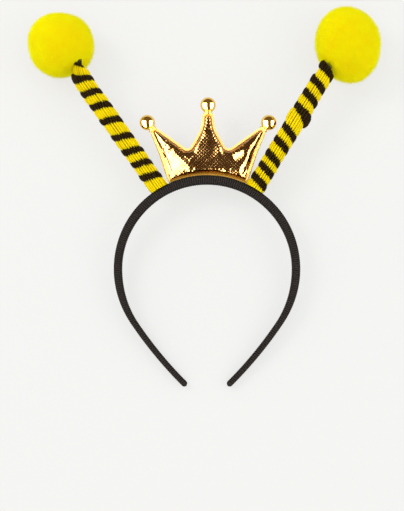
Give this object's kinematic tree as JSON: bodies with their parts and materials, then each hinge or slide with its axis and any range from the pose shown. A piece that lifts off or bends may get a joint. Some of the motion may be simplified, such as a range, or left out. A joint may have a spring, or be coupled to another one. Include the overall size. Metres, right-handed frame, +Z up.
{
  "type": "antenna headband",
  "caption": "Bee costume headband: ribbed hair band with two wound chenille antennae ending in pompoms and a small padded gold crown with beads.",
  "frame": {"origin": "on the surface that it lies on, under the middle of its box", "axes": "+Y from the band's tips towards the pompoms, +X to the right as seen from above, +Z up, away from the surface; the band's plane slopes up by 6.6 degrees towards the pompoms"},
  "size_m": [0.2418, 0.258, 0.0431],
  "materials": {
    "band_fabric": "matt charcoal ribbed covering",
    "gold_foil": "shiny gold foil cloth, padded",
    "gold_piping": "bright gold foil piping",
    "gilt_bead": "mirror-bright gold plating",
    "stem_plastic": "plain dark plastic",
    "yellow_chenille": "short dense pile",
    "black_chenille": "short dense pile",
    "pompom_yarn": "soft trimmed fibre"
  },
  "bodies": {
    "root": {"headband": "band_fabric", "crown_pad": "gold_foil", "crown_piping": "gold_piping", "crown_bead_left": "gilt_bead", "crown_bead_centre": "gilt_bead", "crown_bead_right": "gilt_bead", "antenna_stem_left": "stem_plastic", "antenna_stem_right": "stem_plastic", "yellow_chenille_left": "yellow_chenille", "yellow_chenille_right": "yellow_chenille", "black_chenille_left": "black_chenille", "black_chenille_right": "black_chenille", "pompom_left": "pompom_yarn", "pompom_right": "pompom_yarn"}
  },
  "joints": []
}
